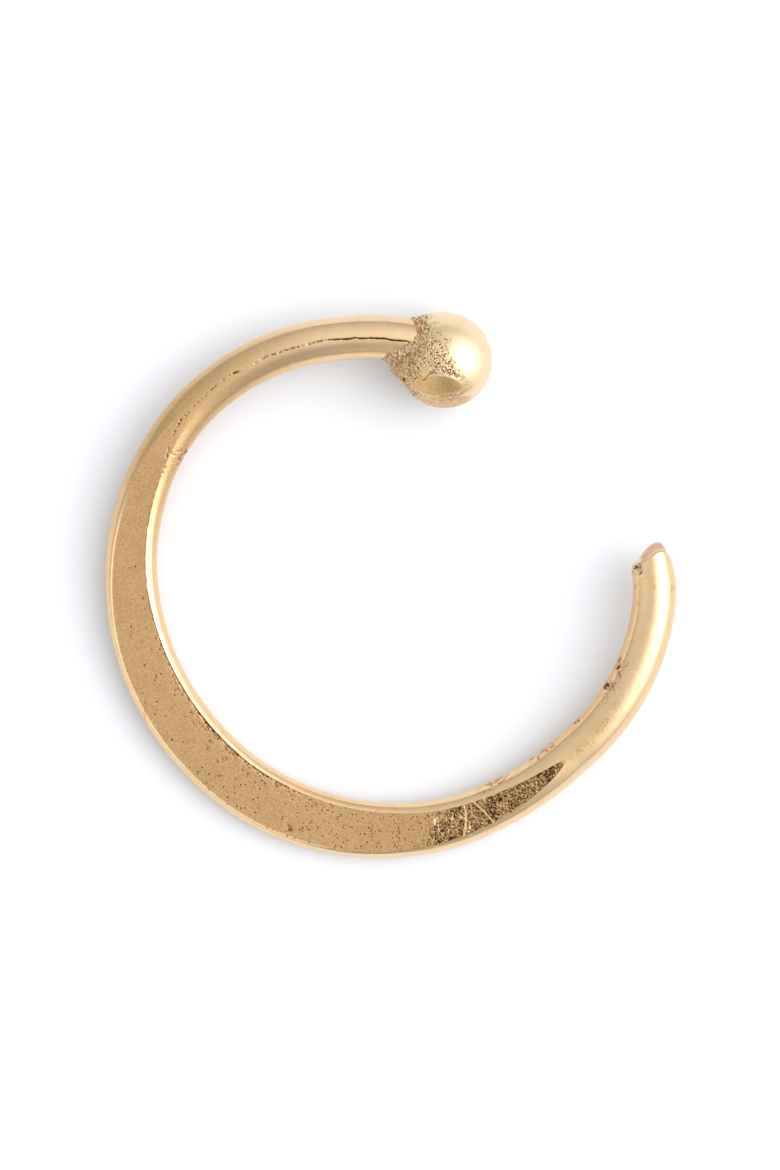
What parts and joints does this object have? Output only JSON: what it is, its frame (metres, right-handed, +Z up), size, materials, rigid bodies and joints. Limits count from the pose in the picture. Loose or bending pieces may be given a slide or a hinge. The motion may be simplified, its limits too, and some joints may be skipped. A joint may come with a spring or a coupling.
{
  "type": "huggie hoop earring",
  "caption": "Open C-shaped huggie hoop of round gold-filled wire, planished into a flat crescent, with a ball fused to its end and a nipped tip.",
  "frame": {"origin": "on the table, under the middle of the earring's box as it lies on its side", "axes": "+Z up from the table, +X and +Y as seen from above with the mouth at the upper right, between the ball at the top and the tip at the right"},
  "size_m": [0.0134, 0.0128, 0.0022],
  "materials": {
    "gold": "satin polished gold-filled brass, planished flat, pitted where the ball was fused"
  },
  "bodies": {
    "root": {"huggie_hoop": "gold"}
  },
  "joints": []
}
